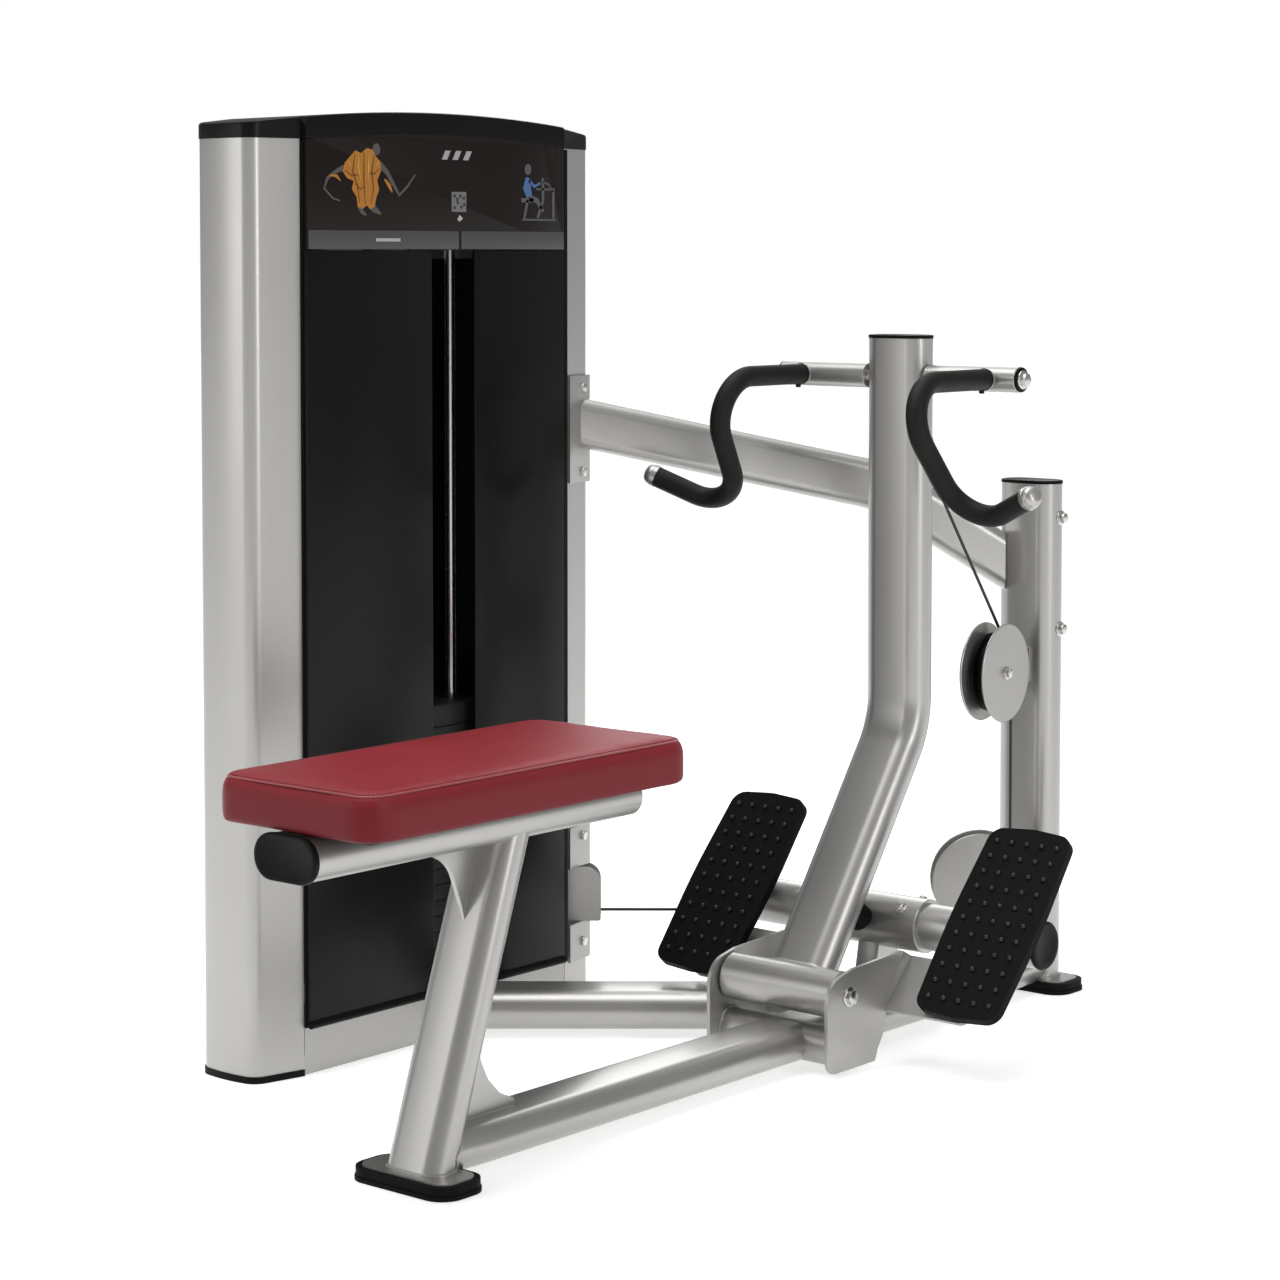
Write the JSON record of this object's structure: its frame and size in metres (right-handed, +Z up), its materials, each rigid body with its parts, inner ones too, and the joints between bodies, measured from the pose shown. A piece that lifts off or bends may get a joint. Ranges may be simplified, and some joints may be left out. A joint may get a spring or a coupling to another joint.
{
  "type": "seated cable row machine",
  "caption": "Seated row machine: a pivoting lever arm with two bent handles lifts a shrouded weight stack by cable, with a low bench seat and two angled foot plates.",
  "frame": {"origin": "centre of the machine's footprint, on the floor", "axes": "+X from the seat towards the rear upright along the rowing line, +Y towards the weight tower, +Z up"},
  "size_m": [1.7684, 1.0413, 1.45],
  "materials": {
    "silver_paint": "satin metallic powder coat",
    "plate_paint": "satin metallic powder coat",
    "bright_steel": "polished plating",
    "black_plastic": "fine grain",
    "smoked_panel": "smoked, soft gloss",
    "black_rubber": "matt",
    "red_vinyl": "grained upholstery vinyl",
    "board": "painted plywood",
    "cast_weight": "black enamel",
    "placard": "printed panel"
  },
  "bodies": {
    "frame": {"seat_tube": "silver_paint", "seat_tube_front_cap": "black_plastic", "seat_post": "silver_paint", "front_foot": "black_rubber", "seat_board": "board", "seat_pad": "red_vinyl", "floor_beam": "silver_paint", "pivot_bracket": "plate_paint", "rear_beam": "silver_paint", "base_link": "silver_paint", "rear_upright": "silver_paint", "rear_foot": "black_rubber", "upright_cap": "black_plastic", "pivot_pin": "bright_steel", "footrest_tube": "silver_paint", "footrest_cap_left": "black_plastic", "footrest_cap_right": "black_plastic", "foot_plate_left": "plate_paint", "foot_plate_right": "plate_paint", "foot_pad_left": "black_rubber", "foot_pad_right": "black_rubber", "arm_bumper": "black_rubber", "upper_pulley_guard": "plate_paint", "lower_pulley_guard": "plate_paint", "side_cover_left": "silver_paint", "side_cover_right": "silver_paint", "top_cap": "black_plastic", "placard": "placard", "front_panel_left": "smoked_panel", "front_panel_right": "smoked_panel", "back_panel": "smoked_panel", "tower_frame": "silver_paint", "guide_rod_left": "bright_steel", "guide_rod_right": "bright_steel", "upper_link": "silver_paint", "tower_pulley_bracket": "plate_paint", "resting_weights": "cast_weight", "cable_guided_run": "black_plastic", "cable_arm_run": "black_plastic", "cable_stack_run": "black_plastic"},
    "arm": {"lever_arm": "silver_paint", "pivot_tube": "silver_paint", "arm_cap": "black_plastic", "crossbar": "bright_steel", "cable_anchor": "plate_paint"},
    "handle_left": {"handle_left": "silver_paint", "grip_left": "black_rubber"},
    "handle_right": {"handle_right": "silver_paint", "grip_right": "black_rubber"},
    "stack": {"lifted_weight_1": "cast_weight", "lifted_weight_2": "cast_weight", "head_plate": "cast_weight", "selector_stem": "bright_steel"},
    "pin": {"selector_pin": "bright_steel"},
    "upper_pulley": {"upper_pulley": "black_plastic"},
    "lower_pulley": {"lower_pulley": "black_plastic"},
    "tower_pulley": {"tower_pulley": "black_plastic"},
    "top_pulley_inner": {"top_pulley_inner": "black_plastic"},
    "top_pulley_outer": {"top_pulley_outer": "black_plastic"}
  },
  "joints": [
    {"name": "arm_swing", "type": "hinge", "parent": "frame", "child": "arm", "pos_m": [0.1652, -0.1459, 0.12], "axis": [0, -1, 0], "range_deg": [0, 40], "deforming": ["cable_arm_run"]},
    {"name": "handle_left_pivot", "type": "hinge", "parent": "arm", "child": "handle_left", "pos_m": [0.4532, 0.0301, 1.04], "axis": [0, 1, 0], "range_deg": [0, 30]},
    {"name": "handle_right_pivot", "type": "hinge", "parent": "arm", "child": "handle_right", "pos_m": [0.4532, -0.3219, 1.04], "axis": [0, 1, 0], "range_deg": [0, 30]},
    {"name": "stack_lift", "type": "slide", "parent": "frame", "child": "stack", "axis": [0, 0, 1], "range_m": [0, 0.5], "deforming": ["cable_stack_run"]},
    {"name": "pin_pull", "type": "slide", "parent": "stack", "child": "pin", "axis": [0, -1, 0], "range_m": [0, 0.08]},
    {"name": "upper_pulley_spin", "type": "hinge", "parent": "frame", "child": "upper_pulley", "pos_m": [0.6895, -0.1715, 0.548], "axis": [-0.0958, 0.9954, 0], "continuous": true},
    {"name": "lower_pulley_spin", "type": "hinge", "parent": "frame", "child": "lower_pulley", "pos_m": [0.7152, -0.1279, 0.1946], "axis": [0.766, 0.6428, 0], "continuous": true},
    {"name": "tower_pulley_spin", "type": "hinge", "parent": "frame", "child": "tower_pulley", "pos_m": [0.27489, 0.39684, 0.1806], "axis": [0.766, 0.6428, 0], "continuous": true},
    {"name": "top_inner_spin", "type": "hinge", "parent": "frame", "child": "top_pulley_inner", "pos_m": [-0.0168, 0.4244, 1.325], "axis": [0, 1, 0], "continuous": true},
    {"name": "top_outer_spin", "type": "hinge", "parent": "frame", "child": "top_pulley_outer", "pos_m": [0.20175, 0.4244, 1.325], "axis": [0, 1, 0], "continuous": true}
  ],
  "couplings": [
    {"joint": "stack_lift", "follows": "arm_swing", "m_per_rad": 0.712},
    {"joint": "upper_pulley_spin", "follows": "arm_swing", "ratio": -12.276},
    {"joint": "lower_pulley_spin", "follows": "arm_swing", "ratio": -14.24},
    {"joint": "tower_pulley_spin", "follows": "arm_swing", "ratio": -19.778},
    {"joint": "top_inner_spin", "follows": "arm_swing", "ratio": 14.24},
    {"joint": "top_outer_spin", "follows": "arm_swing", "ratio": 14.24}
  ]
}
